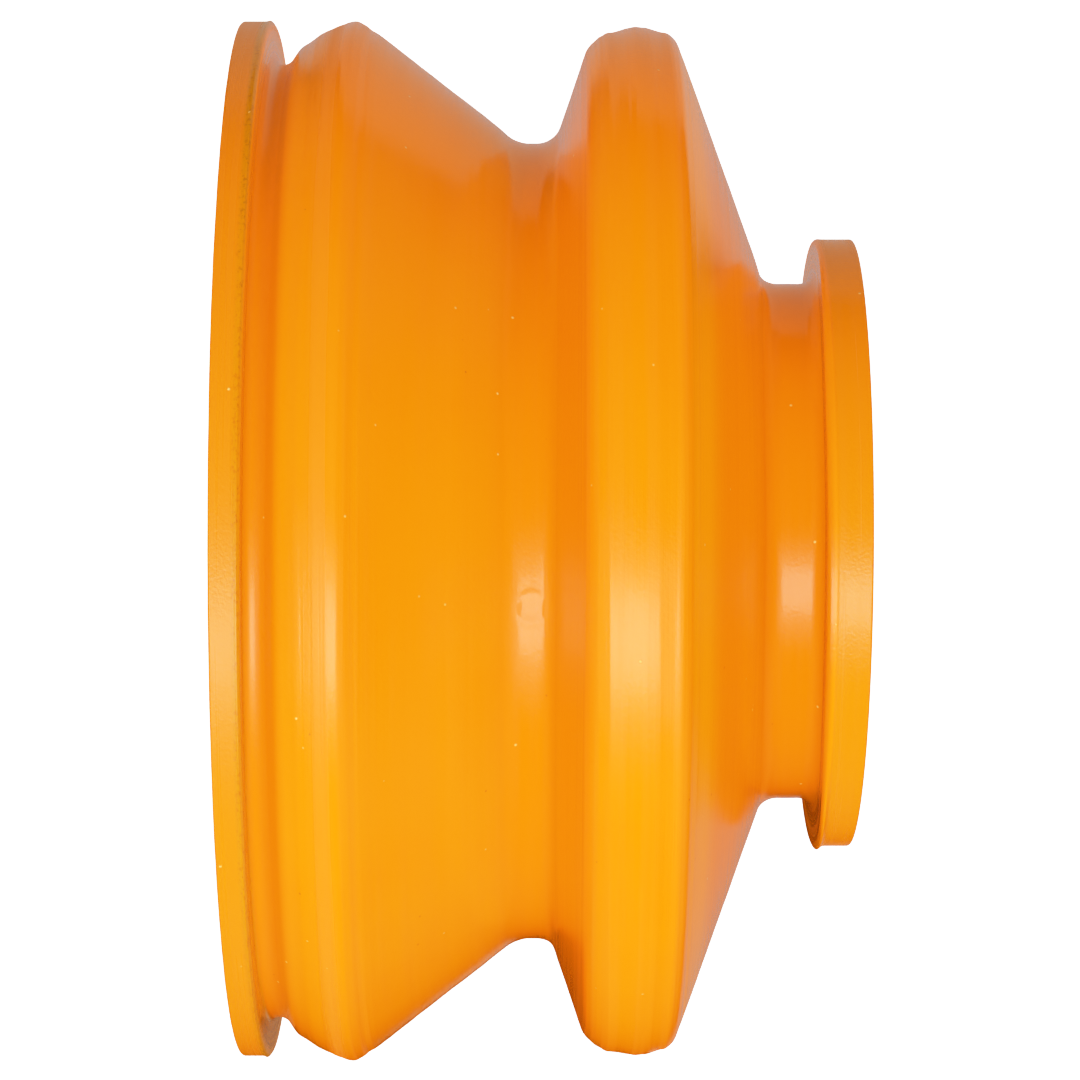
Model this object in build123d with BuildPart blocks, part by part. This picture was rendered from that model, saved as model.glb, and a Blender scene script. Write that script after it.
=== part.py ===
from build123d import *
import os

os.makedirs("parts", exist_ok=True)

# A bellows dust boot, moulded in one piece from soft polyurethane. Millimetres.
# Its axis is Z. It stands on the face of its large end at Z = 0, small end up.
# The moulding is divided by planes normal to the axis into hoops, which stay
# round and flat, and the walls between them, which stretch, fold and lean.

# Large end: a lip and a ring groove round a seat bore
LARGE_LIP_R = 21.88
LARGE_LIP_H = 1.15
LARGE_LIP_EDGE = 0.1
LARGE_LIP_INNER_EDGE = 0.15
LARGE_GROOVE_R = 20.17
LARGE_GROOVE_END = 1.85
LARGE_GROOVE_ROOT = 0.2
SEAT_R = 18.0
SEAT_DEPTH = 2.2
SEAT_CORNER = 0.4
SEAT_CHAMFER = 0.3

# First convolution: a rounded shoulder, a crest and a long cone
SHOULDER_FOOT_Z = 2.35
SHOULDER_FOOT_R = 20.9
SHOULDER_FOOT_ROUND = 0.8
SHOULDER_Z = 3.25
SHOULDER_R = 21.45
SHOULDER_ROUND = 1.4
CREST_Z = 4.75
CREST_R = 22.09
CREST_ROUND = 0.8
CREST_INNER_Z = 4.15
CREST_INNER_R = 20.23
CREST_INNER_ROUND = 0.7

# Valley between the first convolution and the rib
VALLEY_START = 11.5
VALLEY_END = 13.0
VALLEY_R = 16.87
VALLEY_START_ROUND = 0.7
VALLEY_END_ROUND = 0.9
VALLEY_INNER_START = 10.9
VALLEY_INNER_END = 14.25
VALLEY_INNER_R = 15.07
VALLEY_INNER_ROUND = 1.2

# Rib: a steep rear flank, a rounded crown and a steep front cone
RIB_REAR_Z = 14.55
RIB_REAR_R = 21.4
RIB_REAR_ROUND = 1.5
RIB_CROWN_Z = 16.6
RIB_CROWN_R = 21.8
RIB_CROWN_ROUND = 1.6
RIB_FRONT_Z = 18.02
RIB_FRONT_R = 21.32
RIB_FRONT_ROUND = 0.95
RIB_INNER_START = 15.9
RIB_INNER_END = 16.7
RIB_INNER_R = 19.75
RIB_INNER_ROUND = 0.3

# Small end: a neck, which is the floor of the second ring groove, and a lip
NECK_START = 21.83
NECK_END = 24.03
NECK_R = 10.95
NECK_START_ROUND = 0.9
NECK_END_ROUND = 0.5
SMALL_LIP_R = 12.9
SMALL_LIP_EDGE = 0.1
SMALL_LIP_INNER_EDGE = 0.2
STUD_BORE_START = 20.8
STUD_BORE_R = 8.5
STUD_BORE_ROUND = 0.5
STUD_BORE_CHAMFER = 0.3
HEIGHT = 25.6

# Planes between the hoops and the walls, from the large end to the small end
CUFF_TOP = 2.0
CREST_RING_BOTTOM = 4.4
CREST_RING_TOP = 5.3
MID_FLANK_BOTTOM = 8.0
MID_FLANK_TOP = 8.7
VALLEY_RING_BOTTOM = 11.7
VALLEY_RING_TOP = 12.8
CROWN_RING_BOTTOM = 15.5
CROWN_RING_TOP = 16.8
CONE_RING_BOTTOM = 18.7
CONE_RING_TOP = 19.2
NECK_CUFF_BOTTOM = 21.1

# Corners of the half section as (radius, height, rounding)
OUTER_CORNERS = [
    (LARGE_LIP_R, 0, LARGE_LIP_EDGE),
    (LARGE_LIP_R, LARGE_LIP_H, LARGE_LIP_INNER_EDGE),
    (LARGE_GROOVE_R, LARGE_LIP_H, LARGE_GROOVE_ROOT),
    (LARGE_GROOVE_R, LARGE_GROOVE_END, LARGE_GROOVE_ROOT),
    (SHOULDER_FOOT_R, SHOULDER_FOOT_Z, SHOULDER_FOOT_ROUND),
    (SHOULDER_R, SHOULDER_Z, SHOULDER_ROUND),
    (CREST_R, CREST_Z, CREST_ROUND),
    (VALLEY_R, VALLEY_START, VALLEY_START_ROUND),
    (VALLEY_R, VALLEY_END, VALLEY_END_ROUND),
    (RIB_REAR_R, RIB_REAR_Z, RIB_REAR_ROUND),
    (RIB_CROWN_R, RIB_CROWN_Z, RIB_CROWN_ROUND),
    (RIB_FRONT_R, RIB_FRONT_Z, RIB_FRONT_ROUND),
    (NECK_R, NECK_START, NECK_START_ROUND),
    (NECK_R, NECK_END, NECK_END_ROUND),
    (SMALL_LIP_R, NECK_END, SMALL_LIP_INNER_EDGE),
    (SMALL_LIP_R, HEIGHT, SMALL_LIP_EDGE),
]
INNER_CORNERS = [
    (STUD_BORE_R, STUD_BORE_START, STUD_BORE_ROUND),
    (RIB_INNER_R, RIB_INNER_END, RIB_INNER_ROUND),
    (RIB_INNER_R, RIB_INNER_START, RIB_INNER_ROUND),
    (VALLEY_INNER_R, VALLEY_INNER_END, VALLEY_INNER_ROUND),
    (VALLEY_INNER_R, VALLEY_INNER_START, VALLEY_INNER_ROUND),
    (CREST_INNER_R, CREST_INNER_Z, CREST_INNER_ROUND),
    (SEAT_R, SEAT_DEPTH, SEAT_CORNER),
]
STUD_BORE_MOUTH = (STUD_BORE_R, HEIGHT)
SEAT_MOUTH = (SEAT_R, 0)


def corner_at(section, radius, height):
    """The corner of a half section nearest to a radius and a height."""
    return section.vertices().sort_by_distance((radius, height, 0))[0]


# Half section of the whole moulding: X is the radius, Y is the height
with BuildSketch() as wall_section:
    with BuildLine():
        outer_line = [(radius, height) for radius, height, _ in OUTER_CORNERS]
        inner_line = [(radius, height) for radius, height, _ in INNER_CORNERS]
        Polyline(*outer_line, STUD_BORE_MOUTH, *inner_line, SEAT_MOUTH, close=True)
    make_face()
    for radius, height, rounding in OUTER_CORNERS + INNER_CORNERS:
        fillet(corner_at(wall_section, radius, height), rounding)
    chamfer(corner_at(wall_section, *STUD_BORE_MOUTH), STUD_BORE_CHAMFER)
    chamfer(corner_at(wall_section, *SEAT_MOUTH), SEAT_CHAMFER)


def band_of_wall(bottom, top):
    """Half section of the moulding between two heights, upright in the XZ plane."""
    with BuildSketch(Plane.XZ) as band:
        add(wall_section.sketch)
        with Locations((0, (bottom + top) / 2)):
            Rectangle(3 * LARGE_LIP_R, top - bottom, mode=Mode.INTERSECT)
    return band.sketch


# The lip that holds the large retaining ring in its groove
with BuildPart() as large_end_lip:
    revolve(band_of_wall(0, LARGE_LIP_H), axis=Axis.Z)
large_end_lip.part.label = "large_end_lip"
export_step(large_end_lip.part, "parts/large_end_lip.step")

# The floor of the large ring groove, on the seat bore
with BuildPart() as large_end_cuff:
    revolve(band_of_wall(LARGE_LIP_H, CUFF_TOP), axis=Axis.Z)
large_end_cuff.part.label = "large_end_cuff"
export_step(large_end_cuff.part, "parts/large_end_cuff.step")

# The rounded shoulder from the groove up to the first crest
with BuildPart() as shoulder_wall:
    revolve(band_of_wall(CUFF_TOP, CREST_RING_BOTTOM), axis=Axis.Z)
shoulder_wall.part.label = "shoulder_wall"
export_step(shoulder_wall.part, "parts/shoulder_wall.step")

# The widest hoop of the first convolution
with BuildPart() as first_crest_ring:
    revolve(band_of_wall(CREST_RING_BOTTOM, CREST_RING_TOP), axis=Axis.Z)
first_crest_ring.part.label = "first_crest_ring"
export_step(first_crest_ring.part, "parts/first_crest_ring.step")

# The long cone below the crest, in two walls with a hoop between them
with BuildPart() as upper_flank_wall:
    revolve(band_of_wall(CREST_RING_TOP, MID_FLANK_BOTTOM), axis=Axis.Z)
upper_flank_wall.part.label = "upper_flank_wall"
export_step(upper_flank_wall.part, "parts/upper_flank_wall.step")

with BuildPart() as mid_flank_ring:
    revolve(band_of_wall(MID_FLANK_BOTTOM, MID_FLANK_TOP), axis=Axis.Z)
mid_flank_ring.part.label = "mid_flank_ring"
export_step(mid_flank_ring.part, "parts/mid_flank_ring.step")

with BuildPart() as lower_flank_wall:
    revolve(band_of_wall(MID_FLANK_TOP, VALLEY_RING_BOTTOM), axis=Axis.Z)
lower_flank_wall.part.label = "lower_flank_wall"
export_step(lower_flank_wall.part, "parts/lower_flank_wall.step")

# The hoop at the bottom of the valley
with BuildPart() as valley_ring:
    revolve(band_of_wall(VALLEY_RING_BOTTOM, VALLEY_RING_TOP), axis=Axis.Z)
valley_ring.part.label = "valley_ring"
export_step(valley_ring.part, "parts/valley_ring.step")

# The steep rear flank of the rib
with BuildPart() as rib_rear_wall:
    revolve(band_of_wall(VALLEY_RING_TOP, CROWN_RING_BOTTOM), axis=Axis.Z)
rib_rear_wall.part.label = "rib_rear_wall"
export_step(rib_rear_wall.part, "parts/rib_rear_wall.step")

# The hoop at the crown of the rib
with BuildPart() as rib_crown_ring:
    revolve(band_of_wall(CROWN_RING_BOTTOM, CROWN_RING_TOP), axis=Axis.Z)
rib_crown_ring.part.label = "rib_crown_ring"
export_step(rib_crown_ring.part, "parts/rib_crown_ring.step")

# The front corner of the rib and the steep cone, with a hoop half way down it
with BuildPart() as rib_front_wall:
    revolve(band_of_wall(CROWN_RING_TOP, CONE_RING_BOTTOM), axis=Axis.Z)
rib_front_wall.part.label = "rib_front_wall"
export_step(rib_front_wall.part, "parts/rib_front_wall.step")

with BuildPart() as front_cone_ring:
    revolve(band_of_wall(CONE_RING_BOTTOM, CONE_RING_TOP), axis=Axis.Z)
front_cone_ring.part.label = "front_cone_ring"
export_step(front_cone_ring.part, "parts/front_cone_ring.step")

with BuildPart() as neck_cone_wall:
    revolve(band_of_wall(CONE_RING_TOP, NECK_CUFF_BOTTOM), axis=Axis.Z)
neck_cone_wall.part.label = "neck_cone_wall"
export_step(neck_cone_wall.part, "parts/neck_cone_wall.step")

# The neck that grips the stud, with the floor of the small ring groove
with BuildPart() as neck_cuff:
    revolve(band_of_wall(NECK_CUFF_BOTTOM, NECK_END), axis=Axis.Z)
neck_cuff.part.label = "neck_cuff"
export_step(neck_cuff.part, "parts/neck_cuff.step")

# The lip that holds the small retaining ring in its groove
with BuildPart() as small_end_lip:
    revolve(band_of_wall(NECK_END, HEIGHT), axis=Axis.Z)
small_end_lip.part.label = "small_end_lip"
export_step(small_end_lip.part, "parts/small_end_lip.step")
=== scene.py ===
import bpy
import math
import numpy as np
from mathutils import Matrix, Vector


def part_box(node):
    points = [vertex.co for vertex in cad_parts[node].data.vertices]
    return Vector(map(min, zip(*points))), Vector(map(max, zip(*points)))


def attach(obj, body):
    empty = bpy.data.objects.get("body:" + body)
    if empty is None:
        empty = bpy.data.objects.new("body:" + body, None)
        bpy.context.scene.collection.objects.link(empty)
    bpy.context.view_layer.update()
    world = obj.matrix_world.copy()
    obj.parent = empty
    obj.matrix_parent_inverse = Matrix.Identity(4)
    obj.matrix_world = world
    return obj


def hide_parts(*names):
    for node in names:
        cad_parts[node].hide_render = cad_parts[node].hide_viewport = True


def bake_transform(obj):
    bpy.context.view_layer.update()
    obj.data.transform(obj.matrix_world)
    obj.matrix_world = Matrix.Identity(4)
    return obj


# A bellows dust boot, moulded in orange polyurethane. Profile sizes are in millimetres.
# Its skin is one grid turned round the axis, then divided where the CAD nodes divide.

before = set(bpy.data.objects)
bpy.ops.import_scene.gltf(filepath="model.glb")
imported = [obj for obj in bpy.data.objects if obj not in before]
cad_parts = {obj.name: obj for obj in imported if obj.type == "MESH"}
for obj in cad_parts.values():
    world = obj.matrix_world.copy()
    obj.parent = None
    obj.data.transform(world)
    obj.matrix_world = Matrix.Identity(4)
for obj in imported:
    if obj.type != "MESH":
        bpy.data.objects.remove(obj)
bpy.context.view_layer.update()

MM = 0.001

# ---------------------------------------------------------------- main sizes
# Heights up the axis, from the large end
LIP_TOP = 1.15
GROOVE_TOP = 1.85
CREST_Z = 4.75
VALLEY_START = 11.5
VALLEY_END = 13.0
RIB_REAR_Z = 14.55
RIB_FRONT_Z = 18.02
NECK_START = 21.83
NECK_END = 24.03
TOP = 25.6
# Radii
LARGE_LIP_R = 21.88
GROOVE_R = 20.17
CREST_R = 22.09
VALLEY_R = 16.87
NECK_R = 10.95
SMALL_LIP_R = 12.9
SEAT_R = 18.0
STUD_R = 8.5
RIB_HOLLOW_R = 19.75
VALLEY_HOLLOW_R = 15.07

# Corners of the half section as (radius, height, rounding)
OUTER_CORNERS = [
    (LARGE_LIP_R, 0.0, 0.1),
    (LARGE_LIP_R, LIP_TOP, 0.15),
    (GROOVE_R, LIP_TOP, 0.36),
    (GROOVE_R, GROOVE_TOP, 0.6),
    (20.9, 2.35, 0.8),
    (21.45, 3.25, 1.4),
    (CREST_R, CREST_Z, 0.8),
    (VALLEY_R, VALLEY_START, 1.6),
    (VALLEY_R, VALLEY_END, 0.9),
    (21.4, RIB_REAR_Z, 1.5),
    (21.8, 16.6, 1.6),
    (21.32, RIB_FRONT_Z, 0.95),
    (NECK_R, NECK_START, 0.9),
    (NECK_R, NECK_END, 0.65),
    (SMALL_LIP_R, NECK_END, 0.2),
    (SMALL_LIP_R, TOP, 0.1),
    (STUD_R + 0.3, TOP, 0.08),
]
INNER_CORNERS = [
    (STUD_R, TOP - 0.3, 0.08),
    (STUD_R, 20.8, 0.5),
    (RIB_HOLLOW_R, 16.7, 0.3),
    (RIB_HOLLOW_R, 15.9, 0.3),
    (VALLEY_HOLLOW_R, 14.25, 1.2),
    (VALLEY_HOLLOW_R, 10.9, 1.2),
    (20.23, 4.15, 0.7),
    (SEAT_R, 2.2, 0.4),
    (SEAT_R, 0.3, 0.08),
]
SEAT_EDGE = (SEAT_R + 0.3, 0.0, 0.08)

# How finely the section and the turn are divided
SEGMENTS = 360
ARC_STEP = math.radians(5)
LEAST_ARC_STEPS = 3
EDGE_STEP = 0.03
STEP_GROWTH = 1.8
LONG_STEP = 0.14
LONG_STEP_INSIDE = 0.6
SAME_HEIGHT = 1e-3

# The nodes from the large end up, each with the body it rides on; a wall between two has none
ORDER = [
    ("large_end_lip", "large_cuff"),
    ("large_end_cuff", "large_cuff"),
    ("shoulder_wall", None),
    ("first_crest_ring", "first_crest"),
    ("upper_flank_wall", None),
    ("mid_flank_ring", "mid_flank"),
    ("lower_flank_wall", None),
    ("valley_ring", "valley"),
    ("rib_rear_wall", None),
    ("rib_crown_ring", "rib_crown"),
    ("rib_front_wall", None),
    ("front_cone_ring", "front_cone"),
    ("neck_cone_wall", None),
    ("neck_cuff", "small_cuff"),
    ("small_end_lip", "small_cuff"),
]


# ---------------------------------------------------------------- section
def rounded_corner(before, corner, after, rounding):
    """Points of the arc that rounds a corner."""
    a = (before - corner) / np.linalg.norm(before - corner)
    b = (after - corner) / np.linalg.norm(after - corner)
    half = math.acos(float(np.clip(a @ b, -1, 1))) / 2
    centre = corner + (a + b) / np.linalg.norm(a + b) * rounding / math.sin(half)
    reach = rounding / math.tan(half)
    start, end = corner + a * reach - centre, corner + b * reach - centre
    turn = math.pi - 2 * half
    steps = max(LEAST_ARC_STEPS, math.ceil(turn / ARC_STEP))
    shares = [turn * i / steps for i in range(steps + 1)]
    arc = [start * math.sin(turn - t) + end * math.sin(t) for t in shares]
    return [centre + point / math.sin(turn) for point in arc]


def straight_stops(length, step):
    """Distances along a straight at which it gets a point: close together near its ends."""
    if length < 3 * EDGE_STEP:
        return []
    half, gap, at = [], EDGE_STEP, EDGE_STEP
    while at < length / 2:
        half.append(at)
        gap = min(step, gap * STEP_GROWTH)
        at += gap
    return half + [length - x for x in reversed(half)]


def rounded_path(corners, outer_count):
    """Points along a closed outline with rounded corners."""
    xy = [np.array(c[:2], float) for c in corners]
    count = len(corners)
    arcs = []
    for i in range(count):
        arcs.append(rounded_corner(xy[i - 1], xy[i], xy[(i + 1) % count], corners[i][2]))
    path = []
    for i in range(count):
        path += arcs[i]
        a, b = arcs[i][-1], arcs[(i + 1) % count][0]
        length = float(np.linalg.norm(b - a))
        step = LONG_STEP if i < outer_count else LONG_STEP_INSIDE
        path += [a + (b - a) * s / length for s in straight_stops(length, step)]
    return np.array(path)


def with_cuts(path, heights):
    """The closed path with a point added wherever it crosses one of the heights."""
    clear = SAME_HEIGHT / 10
    points = [path[0]]
    for a, b in zip(path, np.roll(path, -1, axis=0)):
        low, high = sorted((a[1], b[1]))
        between = [h for h in heights if low + clear < h < high - clear]
        for h in sorted(between, reverse=bool(b[1] < a[1])):
            points.append(a + (b - a) * (h - a[1]) / (b[1] - a[1]))
        points.append(b)
    return np.array(points[:-1])


lows = [round(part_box(name)[0].z / MM, 3) for name, _ in ORDER]
highs = [round(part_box(name)[1].z / MM, 3) for name, _ in ORDER]
outline = rounded_path([SEAT_EDGE] + OUTER_CORNERS + INNER_CORNERS, 1 + len(OUTER_CORNERS))
section = with_cuts(outline, highs[:-1])
rows = len(section)
# The outer run ends at the inner edge of the small end's face: the highest, innermost row
INNERMOST = 0.001
top_row = int(np.argmax(section[:, 1] - INNERMOST * section[:, 0]))
steps_along = np.linalg.norm(np.diff(section, axis=0), axis=1)
along = np.concatenate([[0], np.cumsum(steps_along)])


def row_at(height, rising):
    """The row where the outer run (rising) or the inner run crosses a height."""
    run = range(0, top_row + 1) if rising else range(top_row, rows)
    found = [k for k in run if abs(section[k, 1] - height) < SAME_HEIGHT]
    return min(found, key=lambda k: section[k, 0]) if rising else found[0]


def smooth(x, low, high):
    """0 below low, 1 above high, and a smooth step between."""
    t = np.clip((x - low) / (high - low), 0, 1)
    return t * t * (3 - 2 * t)


def hump(x, centre, width):
    return np.exp(-(((x - centre) / width) ** 2))


# How far each row bends outward (above 0) or inward, gathered over BEND_REACH
BEND_REACH = 0.7
ahead = np.roll(section, -1, 0) - section
behind = section - np.roll(section, 1, 0)
crossed = behind[:, 0] * ahead[:, 1] - behind[:, 1] * ahead[:, 0]
turning = np.arctan2(crossed, (behind * ahead).sum(1))
gap = np.abs(along[:, None] - along[None])
gap = np.minimum(gap, along[-1] - gap)
bend = (np.exp(-((gap / BEND_REACH) ** 2) / 2) * turning[None]).sum(1)

# ---------------------------------------------------------------- the skin
angles = np.arange(SEGMENTS) * 2 * math.pi / SEGMENTS
radius = np.repeat(section[:, :1], SEGMENTS, 1)
height = np.repeat(section[:, 1:], SEGMENTS, 1)
angle = np.repeat(angles[None], rows, 0)
outer = (np.arange(rows) <= top_row)[:, None]
# 1 at -X and -1 at +X
side = -np.cos(angle)


def waver(turns, phases):
    """A slow wobble round the axis, from -1 to 1: one wave for each count of turns."""
    return sum(np.sin(n * angle + p) for n, p in zip(turns, phases)) / len(turns)


def stretch(start, full, full_to, end):
    """1 between two heights, falling smoothly to 0 on both sides."""
    return smooth(height, start, full) * (1 - smooth(height, full_to, end))


# Turning marks round the outside: fine waves along the section, as (wavelength, phase),
# deeper where the outside is convex
MARKS = [(0.43, 0.7), (0.61, 2.9), (0.94, 1.3), (1.37, 4.4), (2.3, 0.2), (3.7, 5.1)]
MARK_DEPTH = 0.0075
MARK_POWER = 0.8
MARK_LEAST, MARK_CONVEX = 0.25, 0.95
MARK_WAVER = 0.3
marks = sum(w ** MARK_POWER * np.sin(2 * math.pi * along / w + p) for w, p in MARKS)[:, None]
convex = smooth(bend, 0.05, 0.8)[:, None]
on_walls = stretch(1.9, 2.6, 23.6, 23.9) * (MARK_LEAST + MARK_CONVEX * convex)
uneven = 1 + MARK_WAVER * waver((1, 2), (0.4, 1.9))
radius = radius + outer * on_walls * MARK_DEPTH * marks * uneven

# The shoulder rises to the crest in two low swells, and the rear corner of the rib
# has two fine ridges
RIPPLE = 0.014
radius = radius + outer * RIPPLE * (hump(height, 3.15, 0.25) + hump(height, 4.25, 0.22))
radius = radius + outer * RIPPLE * (hump(height, 14.86, 0.07) - hump(height, 15.1, 0.08))

# A thin edge stands proud of both lips on their groove side: the large lip's wavers, and
# the small lip's is nearly all towards +X
LARGE_EDGE_Z, LARGE_EDGE_WIDTH, LARGE_EDGE_FROM_R = 1.02, 0.07, 21
SMALL_EDGE_Z, SMALL_EDGE_WIDTH, SMALL_EDGE_FROM_R = 24.17, 0.13, 12.6
on_large_edge = hump(height, LARGE_EDGE_Z, LARGE_EDGE_WIDTH) * (radius > LARGE_EDGE_FROM_R)
proud = 0.045 + 0.02 * waver((7, 11, 19), (0.3, 2.2, 4.0))
radius = radius + outer * proud * on_large_edge
on_small_edge = hump(height, SMALL_EDGE_Z, SMALL_EDGE_WIDTH) * (radius > SMALL_EDGE_FROM_R)
flash = 0.01 + 0.15 * smooth(-side, 0.55, 0.98)
radius = radius + outer * flash * on_small_edge

# The rim of the large end's face is not quite flat
trim = 0.012 + 0.008 * waver((3, 5, 8, 13), (0, 1, 2, 5)) + 0.004 * waver((31, 47, 71), (0, 3, 1))
height = height + trim * (1 - smooth(height, 0.0, 0.5)) * smooth(radius, 20.5, LARGE_LIP_R + 0.02)

# Parts of the boot lean a little: (even shift, shift towards -X, and the heights that it spans)
LEANS = [
    (0.06, 0.07, (0.4, 1.1, 2.6, 4.0)),
    (-0.015, 0.09, (12.8, 13.3, 14.6, 15.5)),
    (0.04, 0.045, (17.0, 17.8, 21.3, 22.0)),
    (0.05, 0.05, (3.2, 4.2, 10.5, 11.5)),
]
for shift, lean, span_heights in LEANS:
    height = height + (shift + lean * side) * stretch(*span_heights)
RIB_OFFSET = 0.05
radius = radius - RIB_OFFSET * side * outer * hump(height, 15.4, 0.5)

# The side towards -Y bows down, most at the neck
BOW = 0.17
NECK_BOW = 1.5
near = np.sin(-angle)
bowed = stretch(9.0, 11.0, 16.2, 17.5)
bowed = bowed + NECK_BOW * stretch(20.4, 21.8, 24.2, 24.9)
height = height - BOW * smooth(near, 0.2, 1.0) * outer * bowed

# The small end's face is a little tilted, and both lips sit a little askew
TILT = 0.0045
LARGE_LIP_ASKEW, SMALL_LIP_ASKEW = -0.1, 0.07
height = height + TILT * side * radius * smooth(height, 24.6, 25.4)
askew = LARGE_LIP_ASKEW * (1 - smooth(height, LIP_TOP - 0.1, 1.5))
askew = askew + SMALL_LIP_ASKEW * smooth(height, 23.5, 24.1)


def normal_grid(points):
    """Outward normals of the closed grid, from its neighbours both ways."""
    def unit(v):
        return v / np.maximum(np.linalg.norm(v, axis=-1, keepdims=True), 1e-9)
    up_line = unit(np.roll(points, -1, 0) - points)
    down_line = unit(points - np.roll(points, 1, 0))
    round_line = unit(np.roll(points, -1, 1) - np.roll(points, 1, 1))
    return unit(np.cross(round_line, unit(up_line + down_line)))


skin = np.stack([radius * np.cos(angle) + askew, radius * np.sin(angle), height], -1)
normals = normal_grid(skin)


def make_piece(name, node_name, body, at):
    """One closed ring of the skin, between two rows of the outer run."""
    low, high = lows[at], highs[at]
    at_bottom, at_top = at == 0, at == len(ORDER) - 1
    up_end = top_row if at_top else row_at(high, True)
    down_start = top_row + 1 if at_top else row_at(high, False)
    down_end = rows if at_bottom else row_at(low, False) + 1
    up_rows = list(range(0 if at_bottom else row_at(low, True), up_end + 1))
    ring = np.array(up_rows + list(range(down_start, down_end)))
    n = len(ring)
    i, j = np.arange(n)[:, None], np.arange(SEGMENTS)[None]
    i2, j2 = (i + 1) % n, (j + 1) % SEGMENTS
    corners = [i * SEGMENTS + j, i * SEGMENTS + j2, i2 * SEGMENTS + j2, i2 * SEGMENTS + j]
    quads = np.stack(corners, -1).reshape(-1, 4)
    mesh = bpy.data.meshes.new(name)
    mesh.vertices.add(n * SEGMENTS)
    mesh.vertices.foreach_set("co", (skin[ring] * MM).astype(np.float32).ravel())
    mesh.loops.add(quads.size)
    mesh.loops.foreach_set("vertex_index", quads.astype(np.int32).ravel())
    mesh.polygons.add(len(quads))
    mesh.polygons.foreach_set("loop_start", (np.arange(len(quads)) * 4).astype(np.int32))
    mesh.update(calc_edges=True)
    mesh.polygons.foreach_set("use_smooth", np.ones(len(quads), bool))
    # The skin's own normals keep the shading even across divisions; the cut faces are flat
    corner_normals = normals[ring].reshape(-1, 3)[quads].reshape(n, SEGMENTS, 4, 3)
    if not at_top:
        corner_normals[len(up_rows) - 1] = (0, 0, 1)
    if not at_bottom:
        corner_normals[n - 1] = (0, 0, -1)
    mesh.normals_split_custom_set(corner_normals.reshape(-1, 3).astype(np.float32))
    # What the material reads: the place at rest, the way along the section and its bend
    rest = mesh.attributes.new("rest", "FLOAT_VECTOR", "POINT")
    rest.data.foreach_set("vector", skin[ring].astype(np.float32).ravel())
    for label, values in (("along", along), ("bend", bend)):
        attribute = mesh.attributes.new(label, "FLOAT", "POINT")
        attribute.data.foreach_set("value", np.repeat(values[ring], SEGMENTS).astype(np.float32))
    piece = bpy.data.objects.new(name, mesh)
    bpy.context.scene.collection.objects.link(piece)
    mesh.materials.append(polyurethane)
    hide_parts(node_name)
    # Stands in for light passing through the plastic, which keeps its hollows bright
    piece.visible_diffuse = False
    if body:
        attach(piece, body)
    else:
        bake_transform(piece)


# ---------------------------------------------------------------- material
ORANGE = (0.94, 0.232, 0.0008, 1)
DEEP_ORANGE = (0.93, 0.203, 0.0007, 1)
RIPE_ORANGE = (0.98, 0.232, 0.0009, 1)
RED_ORANGE = (0.94, 0.182, 0.0006, 1)
LIP_ORANGE = (0.82, 0.215, 0.0012, 1)
SHADE_ORANGE = (0.79, 0.172, 0.0006, 1)
PAINTED_LIGHT_ORANGE = (0.99, 0.268, 0.0012, 1)
PALE_FLECK = (0.95, 0.55, 0.16, 1)
DARK_FLECK = (0.42, 0.10, 0.004, 1)
OLIVE = (0.52, 0.22, 0.002, 1)

polyurethane = bpy.data.materials.new("moulded_polyurethane")
polyurethane.use_nodes = True
tree = polyurethane.node_tree
shader = tree.nodes["Principled BSDF"]


def feed(socket, value):
    if isinstance(value, bpy.types.NodeSocket):
        tree.links.new(value, socket)
    elif value is not None:
        socket.default_value = value


def node(kind, inputs=(), out=0, **settings):
    """A new node of the material, with its inputs set or linked, as its output socket."""
    made = tree.nodes.new("ShaderNode" + kind)
    for key, value in settings.items():
        setattr(made, key, value)
    for key, value in dict(inputs).items():
        feed(made.inputs[key], value)
    return made.outputs[out]


def maths(operation, a, b=None, c=None):
    return node("Math", {0: a, 1: b, 2: c}, operation=operation)


def product(a, b):
    return maths("MULTIPLY", a, b)


def raised(value, share, by):
    """The value plus a share of an amount."""
    return maths("MULTIPLY_ADD", share, by, value)


def span(value, low, high, to_low=0.0, to_high=1.0):
    """The value's place between low and high, smoothly, as to_low to to_high."""
    inputs = {"Value": value, "From Min": low, "From Max": high, "To Min": to_low, "To Max": to_high}
    return node("MapRange", inputs, interpolation_type="SMOOTHSTEP")


def zone(start, full, full_to, end, strength=1.0):
    """The strength between two heights, falling smoothly to 0 on both sides."""
    return product(span(rest_z, start, full, 0.0, strength), span(rest_z, end, full_to))


def mixed(share, a, b):
    return node("Mix", {0: share, 6: a, 7: b}, out=2, data_type="RGBA")


def noise(vector, scale, detail=2.0, rough=0.5):
    return node("TexNoise", {"Vector": vector, "Scale": scale, "Detail": detail, "Roughness": rough})


rest_place = node("Attribute", out=1, attribute_name="rest")
along_line = node("Attribute", out=2, attribute_name="along")
bent = node("Attribute", out=2, attribute_name="bend")
node("SeparateXYZ", {0: rest_place})
rest_x, rest_y, rest_z = tree.nodes[-1].outputs

# Lathe lines run round the axis: noise along the section, nearly even round the boot
ROUND_SHARE = 0.012
across = {1: product(rest_x, ROUND_SHARE), 2: product(rest_y, ROUND_SHARE)}
lathe_at = node("CombineXYZ", {0: along_line, **across})
fine_lines = noise(lathe_at, 4.2, 3.0, 0.65)
mid_lines = noise(lathe_at, 1.7, 2.0, 0.6)
broad_lines = noise(lathe_at, 0.9, 1.0)

# Orange peel, a finer grain and faint clouds of colour
peel = noise(rest_place, 3.4, 2.0, 0.55)
grain = noise(rest_place, 8.0, 1.0)
cloud = noise(rest_place, 0.16, 3.0)


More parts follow.
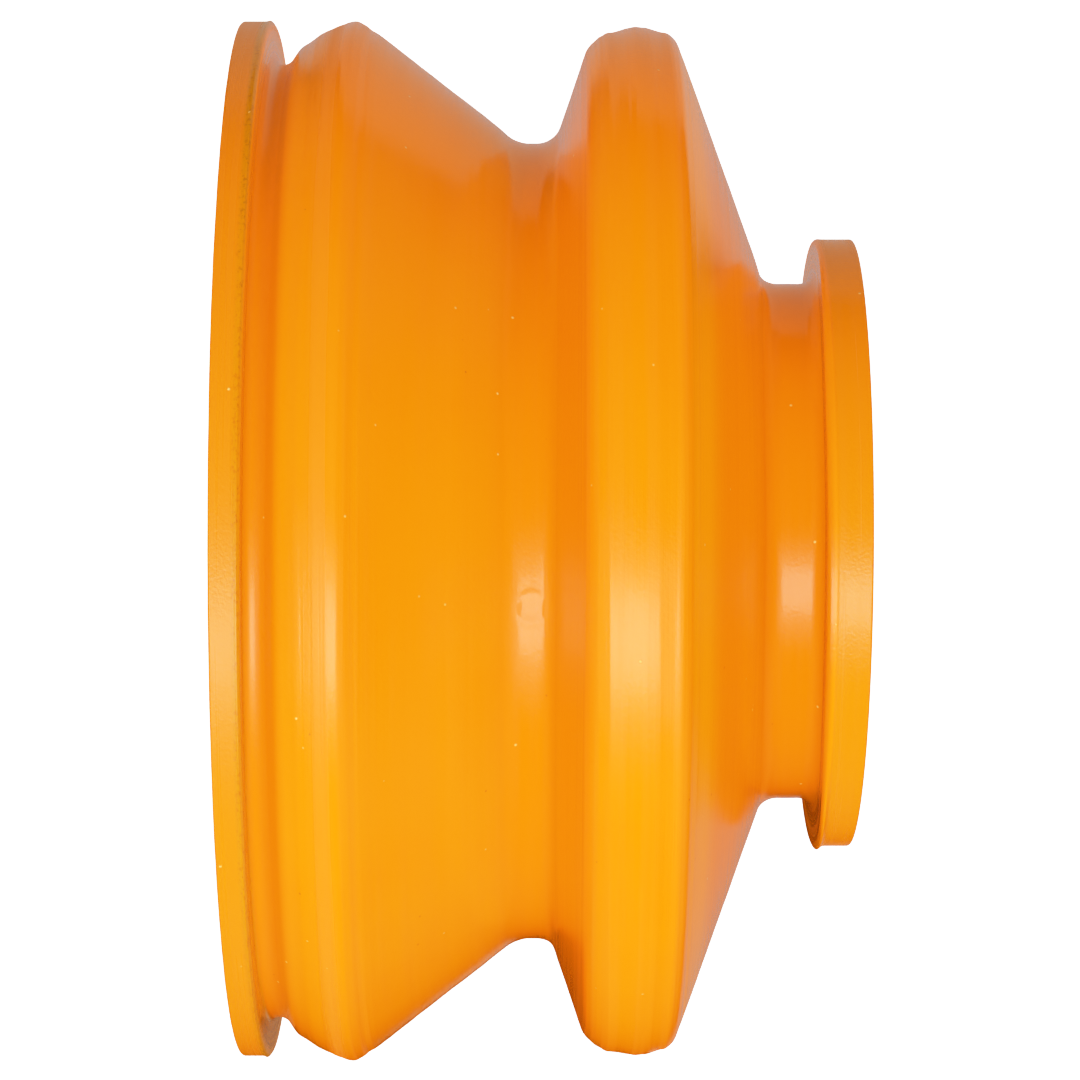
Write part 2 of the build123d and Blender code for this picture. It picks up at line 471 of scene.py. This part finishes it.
def flecks(offset, scale, size, kept):
    """Sparse round specks: the share kept of a random lattice's cells has one."""
    moved = node("VectorMath", {0: rest_place, 1: offset}, operation="ADD")
    node("TexVoronoi", {"Vector": moved, "Scale": scale})
    cell = tree.nodes[-1].outputs
    chosen = maths("GREATER_THAN", node("SeparateColor", {0: cell["Color"]}), 1 - kept)
    return product(chosen, span(cell["Distance"], size * scale, size * scale * 0.4))


pale = flecks((3.1, 7.7, 1.3), 0.9, 0.075, 0.35)
dark = flecks((11.3, 2.9, 5.1), 0.8, 0.07, 0.2)

# A dimple in the valley, with a low rim
DIMPLE_AT = (2.6, -16.67, 12.1)
dimple_gap = node("VectorMath", {0: rest_place, 1: DIMPLE_AT}, out=1, operation="DISTANCE")
dimple = maths("SUBTRACT", span(dimple_gap, 0.2, 0.62), span(dimple_gap, 0.55, 0.9, 0.0, 0.5))

# Zones up the boot
on_lip = maths("ADD", span(rest_z, 1.3, LIP_TOP), span(rest_z, 24.1, 24.3))
lip_line = zone(0.8, 1.02, 1.12, 1.28)
groove_wall_shade = zone(1.4, GROOVE_TOP, 2.2, 2.8)
groove_floor = zone(1.2, 1.35, 1.9, 2.3)
shoulder_band = zone(3.7, 4.0, 4.25, 4.5)
valley_shade = zone(10.0, 11.8, 12.8, 13.3, 0.55)
rear_flank_shade = zone(12.9, 13.3, 14.2, 14.6)
cone_start_light = zone(18.0, 18.3, 18.7, 19.4)
front_cone = zone(18.6, 20.0, 23.7, 24.1)
neck_shade = zone(20.4, 22.2, 23.9, 24.1)

# Colour: painted light makes it yellower where it is convex, and painted shade makes it redder in the
# hollows and on the front cone; faint clouds also make it redder in places at random
colour = mixed(span(bent, 0.1, 1.4), ORANGE, RIPE_ORANGE)
colour = mixed(span(bent, -0.2, -1.6), colour, DEEP_ORANGE)
colour = mixed(product(front_cone, 0.9), colour, DEEP_ORANGE)
colour = mixed(span(cloud, 0.4, 0.7, 0.0, 0.3), colour, DEEP_ORANGE)
swell = product(span(broad_lines, 0.4, 0.7), span(bent, -0.1, 0.8, 0.08, 0.4))
colour = mixed(swell, colour, RIPE_ORANGE)
# Painted shade: the rib's rear flank, which faces the large end, is redder
colour = mixed(product(rear_flank_shade, 0.65), colour, RED_ORANGE)
# Painted shade: a darker orange in the valley and on the neck, fading out towards -X, and on the
# groove wall
colour = mixed(product(valley_shade, span(rest_x, -16.0, -8.0)), colour, SHADE_ORANGE)
colour = mixed(groove_wall_shade, colour, SHADE_ORANGE)
colour = mixed(product(neck_shade, span(rest_x, -9.0, 3.0)), colour, SHADE_ORANGE)
colour = mixed(on_lip, colour, LIP_ORANGE)
# Painted light: a lighter orange at the foot of the front cone, next to the rib
colour = mixed(cone_start_light, colour, PAINTED_LIGHT_ORANGE)
# The uneven olive line along the groove side of the large lip, and the flecks
lip_dots = product(lip_line, span(noise(rest_place, 5.5, 3.0, 0.7), 0.5, 0.66))
colour = mixed(product(lip_line, 0.45), colour, OLIVE)
colour = mixed(product(lip_dots, 0.5), colour, DARK_FLECK)
colour = mixed(product(dark, 0.6), colour, DARK_FLECK)
colour = mixed(product(pale, 0.7), colour, PALE_FLECK)
feed(shader.inputs["Base Color"], colour)

# Roughness: satin, duller in lines and bands
dull = product(span(mid_lines, 0.4, 0.62), span(bent, -0.1, 0.6, 0.1, 1.0))
rough = raised(span(fine_lines, 0.35, 0.65, 0.14, 0.19), dull, 0.08)
rough = maths("ADD", rough, span(bent, 1.0, 2.3, 0.0, 0.03))
rough = raised(rough, on_lip, 0.035)
rough = raised(rough, shoulder_band, 0.13)
rough = raised(rough, groove_floor, 0.04)
feed(shader.inputs["Roughness"], rough)
shader.inputs["Specular IOR Level"].default_value = 0.4

# Relief, each layer with its depth in metres: lathe lines on the walls, peel and grain all over
streaks = product(fine_lines, span(bent, -0.2, 0.7, 0.25, 1.5))
streaks = product(streaks, span(on_lip, 0.0, 1.0, 1.0, 0.15))
swells = product(mid_lines, span(bent, -0.1, 0.6, 0.1, 1.0))
swells = product(swells, span(on_lip, 0.0, 1.0, 1.0, 0.1))
pebble = product(grain, span(on_lip, 0.0, 1.0, 1.0, 1.6))
RELIEF = [
    (streaks, 1.1e-5),
    (swells, 4e-5),
    (peel, 4.2e-6),
    (pebble, 5.5e-6),
    (dimple, 2.5e-5),
    (pale, 1.5e-5),
]
bump = None
for surface_height, depth in RELIEF:
    bump = node("Bump", {"Strength": 1.0, "Distance": depth, "Height": surface_height, "Normal": bump})
feed(shader.inputs["Normal"], bump)

for k, (node_name, body) in enumerate(ORDER):
    make_piece("boot_" + node_name, node_name, body, k)


# ---------------------------------------------------------------- stage
def plain_material(name, base, glow):
    """A matt grey, or black at base 0, that also gives off white light."""
    material = bpy.data.materials.new(name)
    material.use_nodes = True
    inputs = material.node_tree.nodes["Principled BSDF"].inputs
    inputs["Base Color"].default_value = (base, base, base, 1)
    inputs["Roughness"].default_value = 1.0
    inputs["Specular IOR Level"].default_value = 0.0
    inputs["Emission Color"].default_value = (1, 1, 1, 1)
    inputs["Emission Strength"].default_value = glow
    return material


def flat_face(name, points, material):
    """One face through the points, as an object apart from the boot."""
    mesh = bpy.data.meshes.new(name)
    mesh.from_pydata([tuple(p) for p in points], [], [tuple(range(len(points)))])
    mesh.materials.append(material)
    face = bpy.data.objects.new(name, mesh)
    bpy.context.scene.collection.objects.link(face)
    return face


FLOOR_HALF = 1.0
FLOOR_DROP = 0.00005
square = [(-FLOOR_HALF, -FLOOR_HALF), (FLOOR_HALF, -FLOOR_HALF)]
square += [(FLOOR_HALF, FLOOR_HALF), (-FLOOR_HALF, FLOOR_HALF)]
floor_corners = [(x, y, -FLOOR_DROP) for x, y in square]
floor = flat_face("floor", floor_corners, plain_material("floor_white", 0.7, 1.45))
floor.visible_glossy = floor.visible_diffuse = floor.visible_shadow = False

# ---------------------------------------------------------------- light
AIM = Vector((0, 0, 0.012))


def area_light(name, angle_deg, distance, width, tall, z, radiance, glossy):
    """A soft light round the boot. Angle 0 is the camera's side, and positive goes towards -X."""
    data = bpy.data.lights.new(name, "AREA")
    data.shape = "RECTANGLE"
    data.size, data.size_y = tall, width
    data.energy = radiance * math.pi * width * tall
    lamp = bpy.data.objects.new(name, data)
    a = math.radians(angle_deg)
    place = Vector((-distance * math.sin(a), -distance * math.cos(a), z))
    back = (place - AIM).normalized()
    across = Vector((0, 0, 1)).cross(back).normalized()
    turned = Matrix((back.cross(across) * -1, across * -1, back)).transposed()
    lamp.matrix_world = Matrix.Translation(place) @ turned.to_4x4()
    lamp.visible_glossy = glossy
    lamp.visible_camera = False
    bpy.context.scene.collection.objects.link(lamp)


def panel(name, distance, radiance, corners):
    """A flat many-sided soft box, given by its corners as (angle, elevation) in degrees."""
    points = []
    for angle_deg, elevation in corners:
        a, e = math.radians(angle_deg), math.radians(elevation)
        level = math.cos(e)
        points.append(Vector((-math.sin(a) * level, -math.cos(a) * level, math.sin(e))))
    facing = (sum(points, Vector()) / len(points)).normalized()
    on_plane = [AIM + p * (distance / p.dot(facing)) for p in points]
    box = flat_face(name, on_plane, plain_material(name, 0.0, radiance))
    box.visible_camera = box.visible_shadow = False


# Name, angle, distance, width, height, z, radiance, and whether it shows in reflections
LIGHTS = [
    ("key_core", -21, 0.5, 0.19, 0.68, -0.09, 4.2, True),
    ("key_edge", -22, 0.495, 0.33, 0.92, -0.02, 1.15, True),
    ("key_glow", -22.5, 0.49, 0.47, 1.9, -0.07, 0.45, True),
    ("key_wash", -21, 0.5, 0.3, 0.9, -0.02, 0.95, False),
    ("low_fill", -100, 0.5, 0.5, 0.9, -0.25, 0.52, False),
    ("crown_fill", -60, 0.45, 0.5, 0.5, 0.4, 0.85, False),
    ("rear_high", 140, 0.5, 0.5, 0.9, 0.0, 1.15, False),
    ("rear_low", -140, 0.5, 0.5, 0.9, 0.0, 0.75, False),
    ("crown_high", 110, 0.45, 0.5, 0.5, 0.4, 0.7, False),
    ("crown_rear", -130, 0.45, 0.5, 0.5, 0.4, 0.85, False),
]
for light in LIGHTS:
    area_light(*light)
LOW_BACK = [(-160, 4), (-160, 40), (-179, 40), (-179, 4)]
TOP_BACK = [
    (103, -7), (103, 12), (122, 33), (160, 33), (178, 20), (178, -14), (160, -26), (128, -15),
]
panel("low_back", 0.4, 0.32, LOW_BACK)
panel("top_back", 0.4, 0.43, TOP_BACK)

# The world lights the boot evenly, shows white behind it and is left out of reflections
SKY_LIGHT = 0.55
SKY_SEEN = 2.0
world = bpy.data.worlds.new("studio")
world.use_nodes = True
bpy.context.scene.world = world
world.cycles_visibility.glossy = False
sky = world.node_tree.nodes
sky_links = world.node_tree.links
seen = sky.new("ShaderNodeLightPath")
white = sky.new("ShaderNodeBackground")
blend_sky = sky.new("ShaderNodeMixShader")
for background, strength in ((sky["Background"], SKY_LIGHT), (white, SKY_SEEN)):
    background.inputs["Color"].default_value = (1, 1, 1, 1)
    background.inputs["Strength"].default_value = strength
sky_links.new(seen.outputs["Is Camera Ray"], blend_sky.inputs[0])
sky_links.new(sky["Background"].outputs[0], blend_sky.inputs[1])
sky_links.new(white.outputs[0], blend_sky.inputs[2])
sky_links.new(blend_sky.outputs[0], sky["World Output"].inputs["Surface"])

# ---------------------------------------------------------------- camera
# It looks along +Y with the boot's axis level, the small end to the right
CAMERA_DISTANCE = 0.1703
CAMERA_HEIGHT = 0.0119
CAMERA_X = -0.00004
SENSOR_WIDTH = 36
LENS_LENGTH = 133.1
FRAME_SHIFT = 0.0122
camera_data = bpy.data.cameras.new("camera")
camera_data.sensor_width = SENSOR_WIDTH
camera_data.lens = LENS_LENGTH
camera_data.shift_x = FRAME_SHIFT
camera_data.clip_start = 0.01
camera_data.clip_end = 10
camera = bpy.data.objects.new("camera", camera_data)
right, up, back = Vector((0, 0, 1)), Vector((-1, 0, 0)), Vector((0, -1, 0))
turned = Matrix((right, up, back)).transposed().to_4x4()
camera.matrix_world = Matrix.Translation((CAMERA_X, -CAMERA_DISTANCE, CAMERA_HEIGHT)) @ turned
bpy.context.scene.collection.objects.link(camera)
bpy.context.scene.camera = camera

# A film-like response: a straight middle and a soft shoulder that is white at WHITE_AT
WHITE_AT = 1.7
RESPONSE = [
    (0.015, 0.008),
    (0.3, 0.298),
    (0.6, 0.59),
    (0.846, 0.807),
    (1.01, 0.863),
    (1.23, 0.913),
    (1.41, 0.947),
]
settings = bpy.context.scene.view_settings
settings.view_transform = "Standard"
settings.look = "None"
settings.use_curve_mapping = True
mapping = settings.curve_mapping
mapping.white_level = (WHITE_AT, WHITE_AT, WHITE_AT)
for scene_value, shown_value in RESPONSE:
    mapping.curves[3].points.new(scene_value / WHITE_AT, shown_value)
mapping.update()
